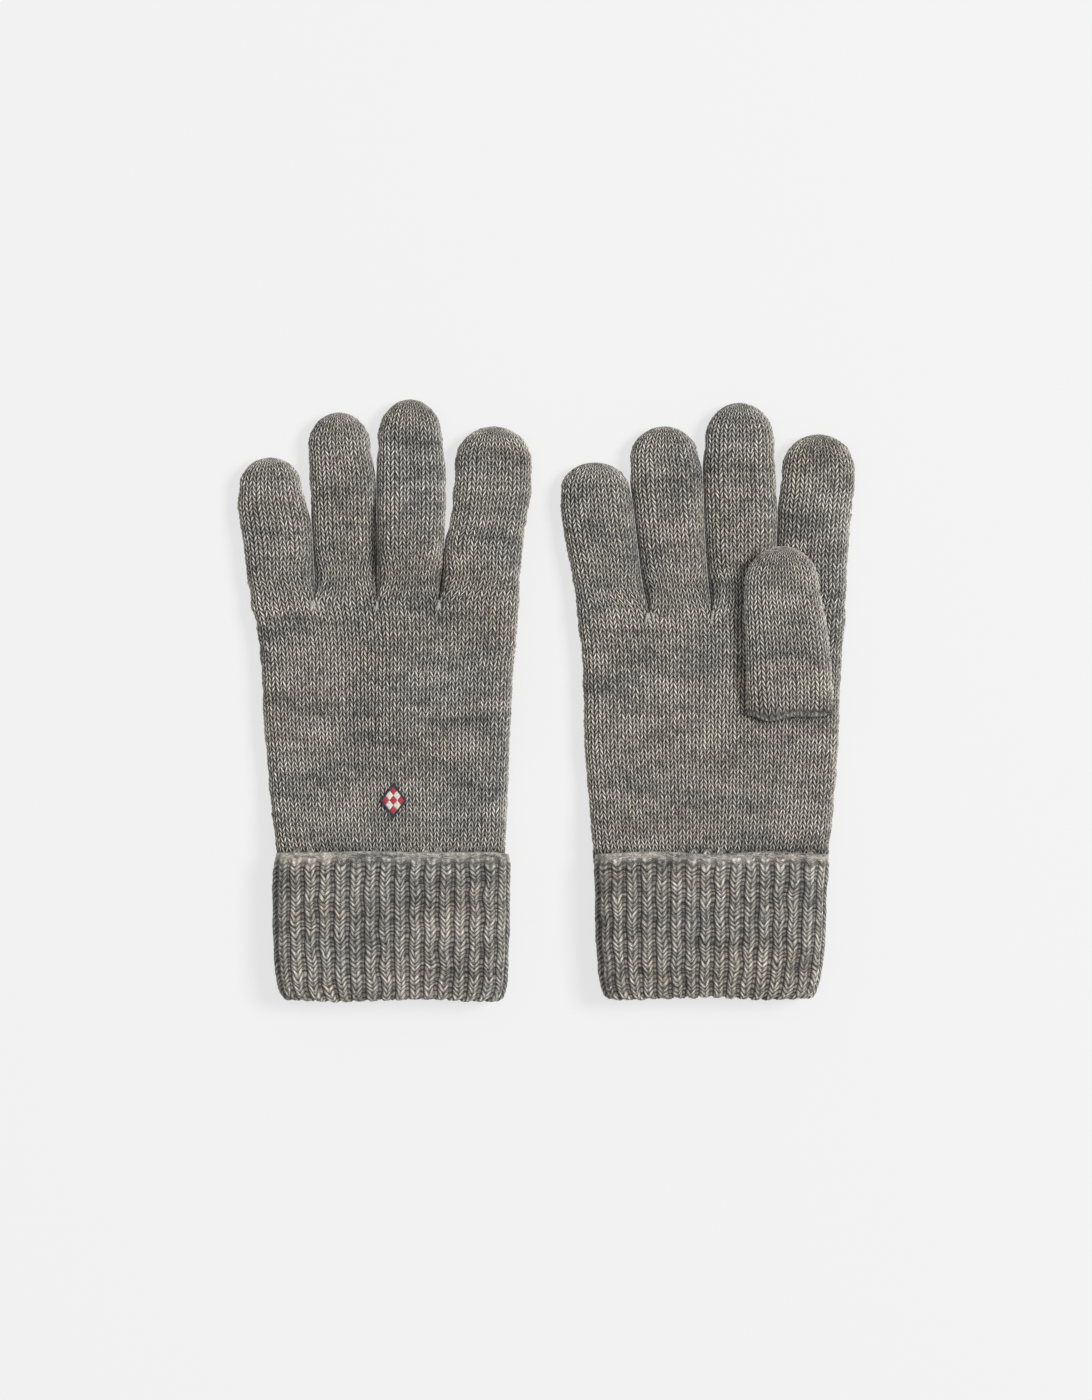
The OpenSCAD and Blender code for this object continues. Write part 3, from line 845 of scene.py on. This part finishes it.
def stitch_height(tree, knit, leg):
    """Height of each spot in its stitch (yarn round along its leg, purl bumps in the sunk wales), and the
    painted shade carried in the knit's third value.
    """
    course, across = node(tree, "ShaderNodeSeparateXYZ"), node(tree, "ShaderNodeSeparateXYZ")
    tree.links.new(knit, course.inputs[0])
    tree.links.new(leg, across.inputs[0])
    row = math_node(tree, "SINE", math_node(tree, "MULTIPLY", course.outputs["Y"], math.pi))
    row = math_node(tree, "POWER", math_node(tree, "ABSOLUTE", row), 0.95)
    yarn = math_node(tree, "SINE", math_node(tree, "MULTIPLY", across.outputs["X"], math.pi))
    yarn = math_node(tree, "POWER", math_node(tree, "MAXIMUM", yarn, 0.0), 0.75)
    bump = math_node(tree, "MULTIPLY", across.outputs["Y"], 0.53)
    ribbed = math_node(tree, "MULTIPLY", row, math_node(tree, "MAXIMUM", yarn, bump))
    plain = math_node(tree, "MULTIPLY", across.outputs["Z"], 0.72)
    return math_node(tree, "MAXIMUM", ribbed, plain), course.outputs["Z"]


def wool(name, brightness, valley_painted_shade, painted_shade_dark):
    """Heather wool: dark, middle and light fibres mixed along the yarn, with painted shade down between the
    stitches and wherever the knit's depth value asks for it.
    """
    material, tree, shader = new_material(name)
    place = node(tree, "ShaderNodeTexCoord").outputs["Object"]
    knit, leg = attribute(tree, "knit"), attribute(tree, "leg")
    height, depth = stitch_height(tree, knit, leg)

    patches = noise(tree, stretched(tree, place, (45, 95, 80)), 1.0, 2.0)
    runs = noise(tree, stretched(tree, knit, (0.14, 0.8, 0)), 1.0, 1.0)
    stitch = noise(tree, stretched(tree, knit, (1.3, 1.3, 0)), 1.0, 1.0)
    fibres = noise(tree, stretched(tree, knit, (3.0, 9.0, 0)), 1.0, 2.0)
    hairs = noise(tree, place, 2200.0, 2.0)
    total = 0.5
    for part, weight in ((patches, 0.54), (runs, 0.4), (stitch, 0.85), (fibres, 1.05), (hairs, 0.95)):
        total = math_node(tree, "MULTIPLY_ADD", math_node(tree, "SUBTRACT", part, 0.5), weight, total)
    color = ramp(tree, total, [(stop, tuple(brightness * c for c in rgb)) for stop, rgb in HEATHER])
    tint = ramp(tree, noise(tree, stretched(tree, place, (22, 50, 40)), 1.0, 1.0), TINTS)
    color = product(tree, color, tint)
    # Painted shade down between the stitches and painted light on their crests, then more painted shade from
    # the knit's depth value.
    lit = math_node(tree, "MAXIMUM", ranged(tree, height, valley_painted_shade, 1.2), 0.04)
    shade = math_node(tree, "MULTIPLY", lit, ranged(tree, depth, painted_shade_dark, 1.0))
    scaled = node(tree, "ShaderNodeVectorMath", operation="SCALE")
    tree.links.new(color, scaled.inputs[0])
    tree.links.new(shade, scaled.inputs["Scale"])
    tree.links.new(scaled.outputs[0], shader.inputs["Base Color"])

    rise = math_node(tree, "MULTIPLY_ADD", fibres, 0.7, math_node(tree, "MULTIPLY", hairs, 0.5))
    add_bump(tree, shader, math_node(tree, "ADD", rise, height), 0.7, 0.0005)
    shader.inputs["Roughness"].default_value = 0.95
    shader.inputs["Specular IOR Level"].default_value = 0.15
    shader.inputs["Sheen Weight"].default_value = 0.3
    shader.inputs["Sheen Roughness"].default_value = 0.6
    return material


def sewing_thread(name, color, twist):
    """Shiny embroidery thread: a little lighter and darker along each strand."""
    material, tree, shader = new_material(name)
    place = node(tree, "ShaderNodeTexCoord").outputs["Object"]
    strands = noise(tree, place, twist, 2.0)
    dark, light = tuple(0.6 * c for c in color), tuple(min(1.0, 1.35 * c) for c in color)
    shades = ramp(tree, strands, [(0.3, dark), (0.5, color), (0.7, light)])
    tree.links.new(shades, shader.inputs["Base Color"])
    add_bump(tree, shader, strands, 0.4, 0.0002)
    shader.inputs["Roughness"].default_value = 0.55
    return material


# Stops of colour along the mix of fibres, and a faint cool to warm tint
HEATHER = ((0.2, (0.088, 0.085, 0.083)), (0.5, (0.372, 0.349, 0.314)), (0.8, (0.76, 0.711, 0.636)))
TINTS = ((0.3, (0.975, 1.0, 1.02)), (0.7, (1.02, 1.005, 0.95)))
# The last two values set the painted shade between stitches and the painted shade from the knit's depth
# value.
WOOL = wool("heather_wool", 1.46, -0.2, 0.42)
RIB_WOOL = wool("heather_wool_rib", 1.12, 0.03, 0.93)
KNOT_YARN = sewing_thread("darning_yarn", (0.42, 0.408, 0.375), 1500.0)
RED_THREAD = sewing_thread("red_thread", (0.40, 0.035, 0.05), 2500.0)
CREAM_THREAD = sewing_thread("cream_thread", (0.75, 0.70, 0.62), 2500.0)
NAVY_THREAD = sewing_thread("navy_thread", (0.022, 0.028, 0.055), 2500.0)


def paint(obj, material):
    obj.data.materials.clear()
    obj.data.materials.append(material)
    return obj


# ---------------------------------------------------------------- assembly

for side in SIDES:
    hand_body = side + "_hand"
    hand = paint(make_hand(side), WOOL)
    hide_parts(side + "_hand")
    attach(hand, hand_body)
    for k, finger_name in enumerate(FINGERS):
        finger = paint(make_finger(side, k), WOOL)
        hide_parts(f"{side}_{finger_name}_base", f"{side}_{finger_name}_tip")
        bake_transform(finger)
    thumb = paint(make_thumb(side), WOOL)
    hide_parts(side + "_thumb")
    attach(thumb, side + "_thumb")
    knots = make_crotch_stitches(side)
    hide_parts(side + "_crotch_stitches")
    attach(knots, hand_body)
    turned, lining = make_cuff(side)
    for piece, cad_node in ((turned, "_outer_cuff"), (lining, "_inner_cuff")):
        paint(piece, RIB_WOOL)
        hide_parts(side + cad_node)
        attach(piece, hand_body)

emblem = make_emblem()
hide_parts("left_emblem")
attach(emblem, "left_hand")

# ---------------------------------------------------------------- floor, light and camera

FRAME_H = 560.0   # height of the picture on the floor, in millimetres
CAMERA_Z = 2.4    # in metres, as all of the lights and the floor are
SENSOR = 36.0


def plain_material(name, color, glow):
    material, _, shader = new_material(name)
    shader.inputs["Base Color"].default_value = (*color, 1)
    shader.inputs["Roughness"].default_value = 1.0
    shader.inputs["Specular IOR Level"].default_value = 0.0
    shader.inputs["Emission Color"].default_value = (1, 1, 1, 1)
    shader.inputs["Emission Strength"].default_value = glow
    return material


def make_floor():
    size = 3.0
    mesh = bpy.data.meshes.new("floor")
    corners = [(-size, -size, 0), (size, -size, 0), (size, size, 0), (-size, size, 0)]
    mesh.from_pydata(corners, [], [(0, 1, 2, 3)])
    floor = bpy.data.objects.new("floor", mesh)
    bpy.context.scene.collection.objects.link(floor)
    floor.location.z = -0.0002
    mesh.materials.append(plain_material("pale_floor", (0.2, 0.2, 0.2), 0.69))


def area_light(name, place, size, power):
    data = bpy.data.lights.new(name, "AREA")
    data.shape = "SQUARE"
    data.size = size
    data.energy = power
    light = bpy.data.objects.new(name, data)
    light.location = place
    light.rotation_euler = (-Vector(place)).to_track_quat("-Z", "Y").to_euler()
    bpy.context.scene.collection.objects.link(light)


make_floor()
area_light("soft_key", (3.4, 0.92, 3.8), 1.7, 219.0)
area_light("soft_fill", (-0.9, 0.3, 1.5), 1.4, 3.0)
world = bpy.data.worlds.new("studio")
world.use_nodes = True
world.node_tree.nodes["Background"].inputs["Color"].default_value = (1, 1, 1, 1)
world.node_tree.nodes["Background"].inputs["Strength"].default_value = 0.36
bpy.context.scene.world = world
bpy.context.scene.view_settings.view_transform = "Standard"

camera_data = bpy.data.cameras.new("camera")
camera_data.sensor_fit = "VERTICAL"
camera_data.sensor_height = SENSOR
camera_data.lens = SENSOR * CAMERA_Z / (FRAME_H * MM)
camera = bpy.data.objects.new("camera", camera_data)
camera.location = (0, 0, CAMERA_Z)
bpy.context.scene.collection.objects.link(camera)
bpy.context.scene.camera = camera
